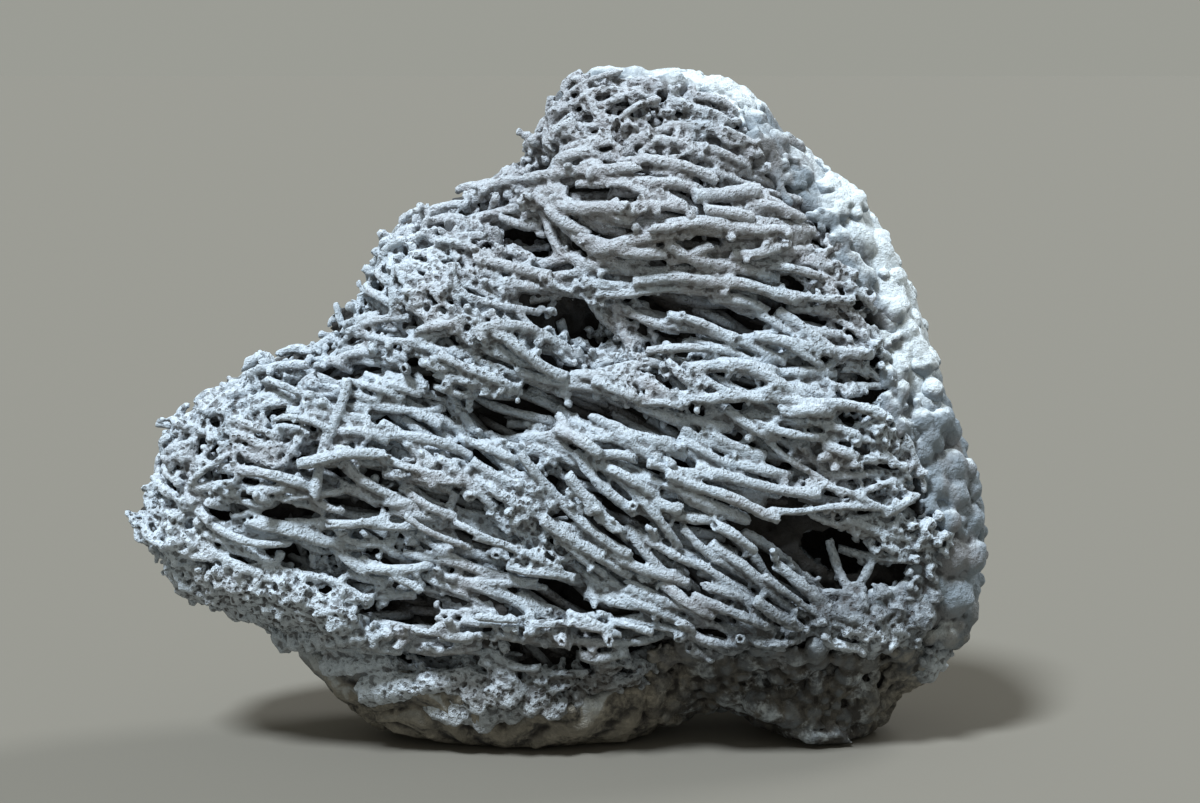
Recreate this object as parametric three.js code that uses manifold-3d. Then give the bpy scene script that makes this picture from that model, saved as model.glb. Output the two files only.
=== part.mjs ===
// Tufa: a hand-broken block of porous lime rock that grew as a crust round a mat of plant stems.
// The broken face shows the lime casts of the stems, lying in sheets, with hollows between them.
// The right side, the crown and the back carry a rind of smooth round lime knobs.
// Units are millimetres. +Z is up, +X is right, and the broken face looks towards -Y.

import * as THREE from "three";
import { mergeVertices } from "three/addons/utils/BufferGeometryUtils.js";
import { SimplexNoise } from "three/addons/math/SimplexNoise.js";
import Module from "manifold-3d";

// Driving dimensions of the block.
const frontThicknessAtFoot = 50;
const frontThicknessAtCrown = 34;
const backThicknessAtFoot = 66;
const backThicknessAtCrown = 38;
const blockHeight = 262;
const frontSquareness = 3;
const backSquareness = 2.4;
const bodyDetail = 11;
const rimDirection = 0.6 * Math.PI;
const seed = 11;

// The rim is star-shaped about this point, [x, z].
const rimCentre = [8, 118];

// The rim seen from the front, [x, z], clockwise from the left shoulder of the crown.
const rim = [
  [-8, 243], [6, 258], [35, 261], [56, 261], [72, 253], [98, 228], [117, 211], [131, 188],
  [143, 163], [149, 138], [157, 118], [164, 98], [166, 72], [163, 50], [151, 27], [132, 13],
  [120, -8], [104, -12], [87, 0], [58, 8], [30, 0], [4, -7], [-26, -7], [-52, -1], [-80, 9],
  [-96, 24], [-108, 40], [-126, 51], [-147, 61], [-164, 78], [-165, 91], [-157, 108],
  [-147, 129], [-116, 148], [-86, 162], [-75, 184], [-62, 204], [-38, 211], [-20, 225], [-11, 232],
];

// How far the rim lies behind the middle plane, by its direction from the centre in degrees.
const rimSetBack = [
  [0, 14], [45, 16], [90, 12], [135, 4], [180, -10], [215, -4], [270, 4], [315, 10], [360, 14],
];

// Swells of the broken face: [x, z, half width, half height, tilt in degrees, height].
const swells = [
  [50, 214, 55, 34, 0, 10], [14, 208, 22, 16, -15, 6], [-46, 176, 30, 30, 0, 13],
  [-104, 110, 50, 30, -10, 12], [22, 104, 62, 34, -25, 9], [118, 112, 30, 46, 0, 5],
  [-88, 60, 42, 9, -8, 9], [2, 50, 60, 13, -8, 9], [84, 43, 34, 9, -12, 8],
  [60, 150, 60, 14, -12, 5],
];

// Clefts between them, in the same form, with a depth.
const clefts = [
  [-13, 197, 24, 14, -15, 10], [12, 162, 28, 14, -28, 10], [-4, 133, 30, 6, -12, 12],
  [100, 79, 24, 14, -15, 14], [-54, 129, 22, 6, -8, 9], [-46, 38, 28, 7, 5, 13],
  [56, 29, 42, 13, -4, 15], [-88, 83, 17, 7, -5, 7], [0, 63, 24, 5, -8, 8],
  [32, 172, 28, 5, -10, 6], [-100, 30, 40, 14, -30, 16], [135, 22, 26, 12, 35, 14],
];

// Caves cut into the broken face: [x, z, half width, half height, half depth, tilt in degrees].
const caves = [
  [-14, 197, 15, 8, 15, -15], [11, 162, 17, 8, 15, -30], [-3, 133, 19, 5, 14, -12],
  [101, 79, 18, 10, 20, -15], [49, 93, 6, 5, 12, 0], [93, 120, 7, 5, 12, -10],
  [-48, 38, 19, 5, 14, 4], [56, 31, 26, 6, 15, -4], [-54, 129, 14, 4, 10, -8],
  [104, 134, 9, 4, 11, -5], [-90, 82, 12, 5, 11, -5], [24, 237, 6, 5, 9, 0],
];

// The lie of the stems: a general slope, and places where they turn from it by some degrees:
// [x, z, half width, half height, degrees].
const stemSlope = -13;
const stemTurns = [
  [14, 96, 70, 42, -19], [-46, 176, 34, 30, -16], [78, 205, 40, 22, 16], [120, 96, 40, 16, 12],
  [80, 66, 34, 18, -20], [-110, 112, 40, 24, 4], [60, 238, 40, 16, -10],
];
const stemCount = 54;
const stemRadius = [2.6, 3.6];
const stemLength = [22, 50];
const stemSides = 5;

// Lime knobs of the rind, in rows along the rim:
// [first direction, last direction, count, radius, share of the way out].
const knobRows = [
  [-42, 48, 13, 10, 0.95], [-30, 40, 5, 8, 0.87], [56, 92, 2, 8, 0.94],
];

// The sheets that the stems lie in: each stands out at its lower edge and falls back towards the next.
const sheetTilt = -20;
const sheetPitch = 23;
const sheetStep = 9;
const ledgeShare = 0.3;

function seededRandom(start) {
  let state = start;
  return () => {
    state = (state + 0x6d2b79f5) | 0;
    let t = Math.imul(state ^ (state >>> 15), 1 | state);
    t = (t + Math.imul(t ^ (t >>> 7), 61 | t)) ^ t;
    return ((t ^ (t >>> 14)) >>> 0) / 4294967296;
  };
}

const random = seededRandom(seed);
const noise = new SimplexNoise({ random });
const between = ([low, high], share) => low + (high - low) * share;

// How much of a patch [x, z, half width, half height, tilt] covers a point: 1 at its centre,
// falling off as a bell.
function bell([px, pz, halfWidth, halfHeight, tilt], x, z) {
  const angle = THREE.MathUtils.degToRad(tilt);
  const along = (x - px) * Math.cos(angle) + (z - pz) * Math.sin(angle);
  const across = (z - pz) * Math.cos(angle) - (x - px) * Math.sin(angle);
  return Math.exp(-((along / halfWidth) ** 2) - (across / halfHeight) ** 2);
}

// The rim's distance from its centre, looked up by direction.
const rimSampleCount = 900;
const rimSteps = 720;
const rimCurve = new THREE.CatmullRomCurve3(rim.map(([x, z]) => new THREE.Vector3(x, 0, z)), true);
const rimSamples = rimCurve.getSpacedPoints(rimSampleCount);
const rimTable = new Float64Array(rimSteps);

function directionOf(x, z) {
  const turn = Math.atan2(z - rimCentre[1], x - rimCentre[0]) / (2 * Math.PI);
  return (turn + 1) % 1;
}

for (const point of rimSamples) {
  const step = Math.round(directionOf(point.x, point.z) * rimSteps) % rimSteps;
  const reach = Math.hypot(point.x - rimCentre[0], point.z - rimCentre[1]);
  rimTable[step] = Math.max(rimTable[step], reach);
}
for (let step = 0; step < rimSteps; step++) {
  let next = 1;
  while (!rimTable[(step + next) % rimSteps]) next++;
  if (!rimTable[step]) rimTable[step] = rimTable[(step + next) % rimSteps];
}

function rimReach(turn) {
  const place = turn * rimSteps;
  const step = Math.floor(place) % rimSteps;
  return THREE.MathUtils.lerp(rimTable[step], rimTable[(step + 1) % rimSteps], place - Math.floor(place));
}

function rimBehind(turn) {
  const degrees = turn * 360;
  const next = rimSetBack.findIndex(([at]) => at >= degrees);
  const [to, high] = rimSetBack[Math.max(1, next)];
  const [from, low] = rimSetBack[Math.max(1, next) - 1];
  return THREE.MathUtils.lerp(low, high, THREE.MathUtils.smoothstep(degrees, from, to));
}

// Half of a section through the block, from the middle of a face (0) to the rim (1), in even steps.
const sectionSteps = 64;
const breadthToThickness = 2.6;

function sectionOf(squareness) {
  const section = [];
  for (let i = 0; i <= sectionSteps; i++) {
    const angle = (i / sectionSteps) * (Math.PI / 2);
    const out = Math.sin(angle) ** (2 / squareness);
    const rise = Math.cos(angle) ** (2 / squareness);
    const last = section[i - 1] ?? { out, rise, run: 0 };
    const step = Math.hypot((out - last.out) * breadthToThickness, rise - last.rise);
    section.push({ out, rise, run: last.run + step });
  }
  return section;
}

const frontSection = sectionOf(frontSquareness);
const backSection = sectionOf(backSquareness);

function sectionAt(section, share) {
  const run = share * section[sectionSteps].run;
  const next = Math.max(1, section.findIndex((s) => s.run >= run - 1e-9));
  const a = section[next - 1];
  const b = section[next];
  const part = (run - a.run) / (b.run - a.run);
  const out = THREE.MathUtils.lerp(a.out, b.out, part);
  const rise = THREE.MathUtils.lerp(a.rise, b.rise, part);
  return { out, rise };
}

function frontThickness(x, z) {
  const height = z / blockHeight;
  let thickness = THREE.MathUtils.lerp(frontThicknessAtFoot, frontThicknessAtCrown, height);
  for (const swell of swells) thickness += swell[5] * bell(swell, x, z);
  for (const cleft of clefts) thickness -= cleft[5] * bell(cleft, x, z);
  const tilt = THREE.MathUtils.degToRad(sheetTilt);
  const across = z * Math.cos(tilt) - x * Math.sin(tilt);
  const sheet = across / sheetPitch + 0.9 * noise.noise3d(x / 55, z / 40, 1);
  const along = sheet - Math.floor(sheet);
  const fallBack = along < ledgeShare ? 1 - along / ledgeShare : (along - ledgeShare) / (1 - ledgeShare);
  thickness += sheetStep * (0.6 + 0.5 * noise.noise3d(x / 40, z / 40, 7)) * (0.5 - fallBack);
  return Math.max(8, thickness);
}

function backThickness(x, z) {
  const height = z / blockHeight;
  const plain = THREE.MathUtils.lerp(backThicknessAtFoot, backThicknessAtCrown, height);
  const lumps = Math.hypot(noise.noise3d(x / 56, z / 56, 5), 0.25);
  return plain + 6 * noise.noise3d(x / 90, z / 90, 9) + 10 * (lumps - 0.4);
}

// The y of the broken face over a point of the middle plane.
function faceAt(x, z) {
  const turn = directionOf(x, z);
  const out = Math.min(0.995, Math.hypot(x - rimCentre[0], z - rimCentre[1]) / rimReach(turn));
  const rise = (1 - out ** frontSquareness) ** (1 / frontSquareness);
  return rimBehind(turn) * out ** 2 - frontThickness(x, z) * rise;
}

// The block before anything is cut from it or added: a ball's points, moved out to the rim and the faces.
function blockGeometry() {
  const geometry = new THREE.IcosahedronGeometry(1, bodyDetail);
  const position = geometry.attributes.position;
  const direction = new THREE.Vector3();
  for (let i = 0; i < position.count; i++) {
    direction.fromBufferAttribute(position, i).normalize();
    const turn = (Math.atan2(direction.z, direction.x) / (2 * Math.PI) + 1) % 1;
    const polar = Math.acos(THREE.MathUtils.clamp(-direction.y, -1, 1));
    const front = polar < rimDirection;
    const share = front ? polar / rimDirection : (Math.PI - polar) / (Math.PI - rimDirection);
    const { out, rise } = sectionAt(front ? frontSection : backSection, share);
    const lump = 1 + 0.014 * noise.noise3d(direction.x * 5, direction.y * 5, direction.z * 5);
    const reach = out * rimReach(turn) * lump;
    const x = rimCentre[0] + reach * Math.cos(turn * 2 * Math.PI);
    const z = rimCentre[1] + reach * Math.sin(turn * 2 * Math.PI);
    const depth = front ? -frontThickness(x, z) * rise : backThickness(x, z) * rise;
    position.setXYZ(i, x, rimBehind(turn) * out ** 2 + depth, z);
  }
  return geometry;
}

// A straight stem cast between two points of the broken face, lifted until its middle shows.
function stemGeometry() {
  const turn = random();
  const out = Math.sqrt(random()) * 0.9;
  const x = rimCentre[0] + out * rimReach(turn) * Math.cos(turn * 2 * Math.PI);
  const z = rimCentre[1] + out * rimReach(turn) * Math.sin(turn * 2 * Math.PI);
  let slope = stemSlope + (random() - 0.5) * 22;
  for (const bend of stemTurns) slope += bend[4] * bell([...bend.slice(0, 4), 0], x, z);
  const angle = THREE.MathUtils.degToRad(slope);
  const half = between(stemLength, random()) / 2;
  const radius = between(stemRadius, random());
  const along = new THREE.Vector2(Math.cos(angle), Math.sin(angle)).multiplyScalar(half);
  const start = new THREE.Vector3(x - along.x, faceAt(x - along.x, z - along.y), z - along.y);
  const end = new THREE.Vector3(x + along.x, faceAt(x + along.x, z + along.y), z + along.y);
  const middle = start.clone().lerp(end, 0.5);
  const lift = Math.min(0, faceAt(x, z) - middle.y) - radius * 0.3;
  const geometry = new THREE.CylinderGeometry(radius * 0.8, radius, start.distanceTo(end), stemSides, 1);
  const turnTo = new THREE.Quaternion().setFromUnitVectors(
    new THREE.Vector3(0, 1, 0),
    end.clone().sub(start).normalize(),
  );
  return geometry.applyQuaternion(turnTo).translate(middle.x, middle.y + lift, middle.z);
}

// A round lime knob that sits in the rind near the rim.
function knobGeometry(degrees, radius, share) {
  const turn = ((degrees + 360) % 360) / 360;
  const out = share + 0.06 * (random() - 0.5);
  const reach = out * rimReach(turn);
  const x = rimCentre[0] + reach * Math.cos(turn * 2 * Math.PI);
  const z = rimCentre[1] + reach * Math.sin(turn * 2 * Math.PI);
  const size = radius * (0.8 + 0.6 * random());
  return new THREE.IcosahedronGeometry(size, 1)
    .scale(0.9, 1, 0.85 + 0.4 * random())
    .translate(x - 0.4 * size, faceAt(x, z) + 0.35 * size, z);
}

function caveGeometry([x, z, halfWidth, halfHeight, halfDepth, tilt]) {
  return new THREE.OctahedronGeometry(1, 1)
    .scale(halfWidth, halfDepth, halfHeight)
    .rotateY(-THREE.MathUtils.degToRad(tilt))
    .translate(x, faceAt(x, z) + halfDepth * 0.3, z);
}

const wasm = await Module();
wasm.setup();

function solidFrom(geometry) {
  geometry.deleteAttribute("normal");
  geometry.deleteAttribute("uv");
  const merged = mergeVertices(geometry, 1e-4);
  return new wasm.Manifold(
    new wasm.Mesh({
      numProp: 3,
      vertProperties: merged.attributes.position.array,
      triVerts: new Uint32Array(merged.index.array),
    }),
  );
}

function geometryFrom(solid) {
  const mesh = solid.getMesh();
  return new THREE.BufferGeometry()
    .setAttribute("position", new THREE.BufferAttribute(mesh.vertProperties, 3))
    .setIndex(new THREE.BufferAttribute(mesh.triVerts, 1));
}

let rock = solidFrom(blockGeometry());
for (const [first, last, count, radius, share] of knobRows) {
  for (let i = 0; i < count; i++) {
    const degrees = THREE.MathUtils.lerp(first, last, (i + random() * 0.6) / count);
    rock = rock.add(solidFrom(knobGeometry(degrees, radius, share)));
  }
}
for (const cave of caves) rock = rock.subtract(solidFrom(caveGeometry(cave)));
for (let i = 0; i < stemCount; i++) rock = rock.add(solidFrom(stemGeometry()));

// The underside is ground flat where it stands.
const ground = new THREE.BoxGeometry(500, 500, 60).translate(0, 0, -30);
rock = rock.subtract(solidFrom(ground));
rock = rock.decompose().reduce((most, shell) => (shell.volume() > most.volume() ? shell : most));

const geometry = geometryFrom(rock);
geometry.computeBoundingBox();
const { min, max } = geometry.boundingBox;
geometry.translate(-(min.x + max.x) / 2, -(min.y + max.y) / 2, -min.z);
geometry.computeVertexNormals();

const lime = new THREE.MeshStandardMaterial({ color: 0xa9adb0, roughness: 0.95, metalness: 0 });
const tufa = new THREE.Mesh(geometry, lime);
tufa.name = "tufa";

const part = new THREE.Group();
part.add(tufa);

export default part;
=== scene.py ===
import math
import random
import time

import bmesh
import bpy
import numpy as np
from mathutils import Matrix, Vector, noise
from mathutils.bvhtree import BVHTree


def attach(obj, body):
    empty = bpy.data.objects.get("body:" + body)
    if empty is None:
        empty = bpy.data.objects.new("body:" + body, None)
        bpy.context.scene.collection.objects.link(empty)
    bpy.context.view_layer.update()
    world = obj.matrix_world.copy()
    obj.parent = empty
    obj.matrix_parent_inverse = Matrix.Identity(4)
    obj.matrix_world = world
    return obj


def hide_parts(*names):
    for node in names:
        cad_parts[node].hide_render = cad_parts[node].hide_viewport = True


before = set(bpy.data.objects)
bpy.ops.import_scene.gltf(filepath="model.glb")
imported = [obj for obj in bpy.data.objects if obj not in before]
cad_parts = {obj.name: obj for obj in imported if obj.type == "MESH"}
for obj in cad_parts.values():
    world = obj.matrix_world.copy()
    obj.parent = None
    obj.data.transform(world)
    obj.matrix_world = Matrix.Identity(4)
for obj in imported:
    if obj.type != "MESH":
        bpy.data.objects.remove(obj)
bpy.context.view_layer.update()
scene = bpy.context.scene
startTime = time.time()


def report(words):
    print(f"{time.time() - startTime:6.1f} s  {words}")


# Camera, at the photograph's angle
viewSettings = {
    "lens": 50,
    "sensor": 23.5,
    "distance": 0.997,
    "downTilt": 8,
    "target": (0.0135, 0, 0.132),
}


def makeCamera(settings):
    lens = bpy.data.cameras.new("view")
    lens.lens = settings["lens"]
    lens.sensor_width = settings["sensor"]
    lens.clip_start = 0.01
    camera = bpy.data.objects.new("view", lens)
    tilt = math.radians(settings["downTilt"])
    back = Vector((0, -math.cos(tilt), math.sin(tilt)))
    camera.location = Vector(settings["target"]) + back * settings["distance"]
    camera.rotation_euler = (math.pi / 2 - tilt, 0, 0)
    scene.collection.objects.link(camera)
    scene.camera = camera


makeCamera(viewSettings)
report("camera made")


# Mesh helpers
def newPiece(name, mesh):
    piece = bpy.data.objects.new(name, mesh)
    scene.collection.objects.link(piece)
    return piece


def meshFrom(bm, name):
    mesh = bpy.data.meshes.new(name)
    bm.to_mesh(mesh)
    bm.free()
    return mesh


def bakeModifiers(piece):
    graph = bpy.context.evaluated_depsgraph_get()
    mesh = bpy.data.meshes.new_from_object(piece.evaluated_get(graph))
    piece.modifiers.clear()
    piece.data = mesh


def fuse(piece, voxel, smoothings=0, smoothing=0.5):
    remesh = piece.modifiers.new("fuse", "REMESH")
    remesh.mode = "VOXEL"
    remesh.voxel_size = voxel
    if smoothings:
        smooth = piece.modifiers.new("soften", "SMOOTH")
        smooth.factor = smoothing
        smooth.iterations = smoothings
    bakeModifiers(piece)


# a fused mesh has four-sided faces, each of two triangles
def thin(piece, mostTriangles):
    count = len(piece.data.polygons) * 2
    if count > mostTriangles:
        decimate = piece.modifiers.new("thin", "DECIMATE")
        decimate.ratio = mostTriangles / count
        bakeModifiers(piece)


def placesOf(mesh):
    places = np.empty(len(mesh.vertices) * 3)
    mesh.vertices.foreach_get("co", places)
    return places.reshape(-1, 3)


def normalsOf(mesh):
    normals = np.empty(len(mesh.vertices) * 3)
    mesh.vertex_normals.foreach_get("vector", normals)
    return normals.reshape(-1, 3)


def setPlaces(mesh, places):
    mesh.vertices.foreach_set("co", places.ravel())
    mesh.update()


# moves the vertices along their normals, but not below the floor
def pushOut(mesh, places, normals, lift):
    places += normals * lift[:, None]
    places[:, 2] = np.maximum(places[:, 2], 0)
    setPlaces(mesh, places)


def addValues(mesh, **marks):
    for name, values in marks.items():
        layer = mesh.attributes.new(name, "FLOAT", "POINT")
        layer.data.foreach_set("value", np.asarray(values, dtype=np.float32))


def shadeSmooth(mesh):
    mesh.polygons.foreach_set("use_smooth", np.ones(len(mesh.polygons), dtype=bool))


def smoothstep(low, high, value):
    share = np.clip((value - low) / (high - low), 0, 1)
    return share * share * (3 - 2 * share)


def grain(places, scale, octaves=2, offset=0.0):
    shift = Vector((offset, offset * 0.7, -offset))
    return np.array([
        noise.fractal(Vector(place) / scale + shift, 1.0, 2.0, octaves) for place in places
    ])


def cells(places, scale):
    return np.array([noise.voronoi(Vector(place) / scale)[0][0] for place in places])


def anyDirection(rng):
    return Vector((rng.gauss(0, 1), rng.gauss(0, 1), rng.gauss(0, 1))).normalized()


def alongSlope(angle):
    return Vector((math.cos(angle), 0, math.sin(angle)))


# how hollow the surface is at each vertex, per millimetre, averaged over a few rounds
def cavityOf(mesh, rounds):
    places, normals = placesOf(mesh), normalsOf(mesh)
    pairs = np.empty(len(mesh.edges) * 2, dtype=np.int32)
    mesh.edges.foreach_get("vertices", pairs)
    first, second = pairs.reshape(-1, 2).T
    neighbours = np.maximum(np.bincount(pairs, minlength=len(places)), 1)

    def average(values):
        total = np.bincount(first, values[second], len(places))
        total += np.bincount(second, values[first], len(places))
        return total / neighbours

    offsets = np.stack([average(places[:, axis]) for axis in range(3)], axis=1) - places
    reach = np.linalg.norm(places[first] - places[second], axis=1).mean()
    values = (offsets * normals).sum(axis=1) / reach ** 2 / 1000
    for _ in range(rounds):
        values = 0.5 * values + 0.5 * average(values)
    return values


# a table given in millimetres, but for the plain column, which isn't a length
def metres(rows, plain=None):
    return [
        tuple(value if i == plain else round(value / 1000, 7) for i, value in enumerate(row))
        for row in rows
    ]


# Lie of the rock: where the broken face is, which way the stems run, where it is hollow or crumbly
lie = {
    "centre": (0.008, 0.118),
    "slope": -13,
    "sheets": {"tilt": -17, "pitch": 0.024, "lift": 0.0066, "wander": 0.045},
    "turns": metres(plain=4, rows=[  # x, z, half width, half height, turn in degrees
        (14, 96, 70, 42, -19), (-46, 176, 34, 30, -16), (78, 205, 40, 22, 16),
        (120, 96, 40, 16, 12), (80, 66, 34, 18, -20), (-110, 112, 40, 24, 4),
        (60, 238, 40, 16, -10), (-110, 60, 40, 18, 3),
    ]),
    "tangles": metres(plain=4, rows=[  # the same, where stems cross: spread in degrees
        (-106, 116, 36, 20, 30), (6, 166, 18, 12, 30), (-45, 186, 22, 16, 16),
        (128, 110, 12, 30, 16),
    ]),
    "faceEdge": [  # direction in degrees, share of the way out where the rind starts
        (-180, 1.3), (-75, 1.3), (-60, 0.9), (-40, 0.84), (-20, 0.82), (0, 0.83), (15, 0.845),
        (30, 0.86), (47, 0.87), (60, 0.9), (72, 0.94), (85, 0.975), (105, 1.0), (125, 1.3),
        (180, 1.3),
    ],
    "faceFoot": metres([  # x, lowest z of the broken face
        (-170, 50), (-142, 48), (-105, 39), (-80, 40), (-62, 33), (-40, 27), (-10, 24), (20, 26),
        (45, 36), (60, 43), (90, 46), (120, 43), (150, 60), (170, 70),
    ]),
    "frosts": metres([  # x, z, half width, half height: white crust on the rind
        (64, 254, 18, 11), (110, 222, 13, 18), (122, 200, 13, 18), (133, 175, 11, 18),
        (146, 36, 11, 14), (138, 150, 14, 20), (10, 266, 20, 5), (-60, 205, 20, 20),
        (-125, 150, 30, 20), (-80, 42, 20, 4),
    ]),
    "pales": metres([  # x, z, half width, half height: bleached crust on the broken face
        (-114, 68, 40, 20), (-66, 28, 32, 11), (-36, 18, 24, 6), (-146, 92, 14, 20),
        (-58, 196, 11, 11), (115, 44.5, 18, 6), (146, 28, 8, 8),
    ]),
    "clearStems": metres([  # x and z of both ends, radius, lay of both ends
        (-79.5, 145, -93, 105, 2.2, 2, 2), (-41, 102.5, -45.5, 93, 1.9, -7, -2),
        (10, 72, 11.5, 61, 1.7, -8, -4), (102, 121, 102, 112, 2.4, -4, -2),
        (58, 140.5, 119.5, 130, 2.2, 0, 1), (38, 112.5, 79, 94.5, 2.3, 1, 1),
        (31, 116, 96.5, 102.5, 2.1, 0, 0), (-69, 129.5, -48.5, 115.5, 2.8, 0, 0),
        (-16.5, 120, 25.5, 82, 2.1, 1, 1), (2, 112.5, 20.5, 91, 2.3, 1, 0),
        (-7.5, 96, 15, 81, 2.7, 1, 1), (-15, 211, 23, 208, 2.7, 0, 1),
        (32.5, 168, 65, 160.5, 2.5, -3, 0), (26, 184, 63, 183.5, 2.4, 1, 0),
        (-13, 230.5, 13, 224, 2.6, 0, 0), (10, 223, 45.5, 210, 2.7, 1, 0),
        (48, 213, 71.5, 214.5, 3.1, 0.5, 0),
    ]),
    "caveStems": metres([  # x, y, z of both ends, radius: free stems in the cave at the right
        (101, -29, 83, 110, -35, 62, 1.9), (118, -30, 78, 110, -34, 62, 1.8),
        (105, -24, 78.5, 129, -34, 76.5, 1.9),
    ]),
    "knobs": metres([  # x, z, radius: rounded knobs of the rind at the right
        (101, 217, 4.6), (102, 206, 4.2), (106, 198, 4.6), (108, 189.5, 4), (102, 188, 3.2),
        (133, 163, 6), (128, 169, 5.6), (113, 180, 4.4), (140, 150, 6), (143, 139, 5.2),
        (148, 128, 5.8), (141, 121, 4.6), (151, 110, 7), (144, 103, 5.6), (152, 99, 6.6),
        (160, 99, 6), (159, 88, 7), (149, 88, 5.2), (160, 74, 8), (149, 75, 8.8), (144, 63, 6.2),
        (152, 58, 9.4), (159, 50, 6), (140, 52, 5.6), (130, 48, 4.2), (122, 56, 4), (119, 61, 4.2),
        (125, 62, 3.6), (142, 32, 7), (149, 41, 6), (132, 36, 5), (131, 64, 4),
    ]),
    "popcorn": metres(plain=4, rows=[  # x, z, half width, half height, grains: coarse pale crust
        (-124, 68, 14, 7, 150), (-104, 60, 15, 8, 190), (-89, 54, 10, 6, 90), (123, 45, 9, 5, 90),
        (143, 30, 5, 5, 60), (-147, 86, 6, 9, 80), (10, 100, 6, 4, 30), (-13, 100, 6, 8, 60),
        (137, 80, 8, 10, 70),
    ]),
    "lobes": metres([  # x and z of both ends, radius at the first: plates that taper into the stems
        (-127, 54, -92, 57, 5), (-108, 43, -66, 51, 6.2), (-90, 33.5, -68, 37.5, 5.2),
        (-74, 25.5, -36, 32.5, 7.4),
    ]),
    "crevice": metres([(76, 38.5, 44, 6)])[0],  # x, z, half width, half height: gap over the foot
    "lumps": metres(plain=3, rows=[  # x, z, radius, flatness, lay: big rounded lumps of lime
        (106, 57, 3.6, 0.9, 0), (113, 60, 4.4, 0.9, 0), (121, 63, 4, 0.9, 0),
        (119, 55, 4.6, 0.9, 1), (127, 57, 5, 0.9, 0), (133, 63, 4.6, 0.9, -1),
        (128, 49, 4.6, 0.9, 0), (136, 53, 5.4, 0.9, 0), (112, 51, 4, 0.9, 1),
        (141, 61, 5.2, 0.9, -1), (143, 26, 6, 0.8, -2), (148, 34, 5, 0.8, -2),
        (-47, 19, 8.5, 0.5, -3), (-39, 19, 8.5, 0.55, -3), (-30, 17, 8.5, 0.55, -3),
        (-34, 26, 8.5, 0.55, -2), (-21, 18, 8, 0.6, -3), (-23, 26, 7.5, 0.6, -2),
        (-12, 21, 7.5, 0.6, -3), (-3, 22, 7, 0.6, -3), (6, 25, 6.5, 0.6, -3),
    ]),
    "hollows": metres(plain=4, rows=[  # x, z, half width, half height, degrees, depth
        (-13, 197, 14, 7, -15, -8), (6, 166, 17, 10, -30, -9), (-3, 137, 21, 6.2, -8, 2),
        (-23, 131, 12, 7, -10, 6), (100, 80, 21, 11.5, -15, -2), (80, 90, 16, 6.5, -22, 2),
        (49, 92, 5.5, 5, -30, 4), (93, 117, 5.8, 4.2, 0, 4), (112, 128, 8, 3.5, 0, 6),
        (110, 138, 6, 2.5, -5, 10), (-54, 148, 8.5, 3.5, -8, 12), (-59, 127, 7.5, 4, -20, 2),
        (-55, 172, 5, 3, -10, 10), (30, 131, 8.5, 3, -22, 10), (58, 136, 16, 2.2, 2, 10),
        (17, 100, 7, 2.6, -38, 10), (-35, 101, 11, 3.2, -12, 12), (-26, 84, 6, 2.6, -10, 10),
        (11, 91, 3.5, 4.5, -50, 10), (72, 78, 6, 3.5, -30, 12), (1, 64, 10, 6, -10, 14),
        (-52, 60, 16, 4.5, -8, 12), (120, 69, 10, 5.5, -10, 0), (64, 95, 3.5, 3.2, 0, 12),
        (126, 88, 3.2, 4, 0, 10), (139, 87, 6.5, 2.8, 5, 10), (24, 235, 4.2, 3.6, -20, 4),
        (35, 243, 6.5, 3, -35, 10), (53, 210, 8.5, 2.2, 4, 10), (71, 221, 4.5, 2.4, -15, 10),
        (18, 212, 8.5, 2, -8, 10), (43, 173, 13, 3.5, -14, 12), (42, 161, 6.5, 3.2, -25, 12),
        (63, 169, 8.5, 3.8, -20, 12), (95, 166, 7, 2.2, -5, 10), (96, 199, 3, 9, 0, 10),
        (122, 161, 4.5, 2.2, -20, 8), (-103, 97, 11, 3, -5, 12), (-107, 81, 6, 3.4, 0, 12),
        (-90, 77, 11, 3.6, -18, 6), (-82, 111, 5.5, 2.6, -10, 10), (-72, 58, 8, 4, 0, 10),
        (-53, 39, 15, 4.5, -8, 2), (34, 47, 12, 3, -10, 10), (62, 35, 34, 8, -8, 2),
        (0, 40, 10, 3, -10, 10), (-22, 47, 13, 2.8, -12, 10),
    ]),
    "crumbs": metres(plain=4, rows=[  # x, z, half width, half height, strength
        (30, 245, 42, 15, 1.0), (104, 182, 14, 30, 0.8), (122, 125, 14, 34, 0.7),
        (-46, 184, 24, 18, 0.75), (-128, 128, 34, 17, 0.8), (-110, 60, 36, 13, 1.4),
        (-15, 99, 10, 12, 1.0), (-4, 82, 14, 7, 0.8), (-6, 56, 10, 8, 0.8), (34, 150, 20, 10, 0.8),
        (134, 78, 14, 20, 0.8), (108, 48, 30, 8, 0.5), (-30, 152, 16, 12, 0.6),
        (-155, 90, 14, 16, 0.8), (75, 232, 12, 10, 0.7), (-60, 112, 12, 8, 0.5),
        (8, 168, 14, 12, 0.7), (-12, 196, 12, 6, 0.6), (-36, 26, 40, 10, 1.0),
        (12, 30, 24, 9, 0.9),
    ]),
}


def bell(patch, x, z, tilt=0.0):
    angle = math.radians(tilt)
    along = (x - patch[0]) * math.cos(angle) + (z - patch[1]) * math.sin(angle)
    across = (z - patch[1]) * math.cos(angle) - (x - patch[0]) * math.sin(angle)
    return np.exp(-(along / patch[2]) ** 2 - (across / patch[3]) ** 2)


def slopeRule(x, z):
    return lie["slope"] + sum(turn[4] * bell(turn, x, z) for turn in lie["turns"])


def tangleRule(x, z):
    return sum(patch[4] * bell(patch, x, z) for patch in lie["tangles"])


def crumbRule(x, z):
    return np.clip(sum(crumb[4] * bell(crumb, x, z) for crumb in lie["crumbs"]), 0, 1)


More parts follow.
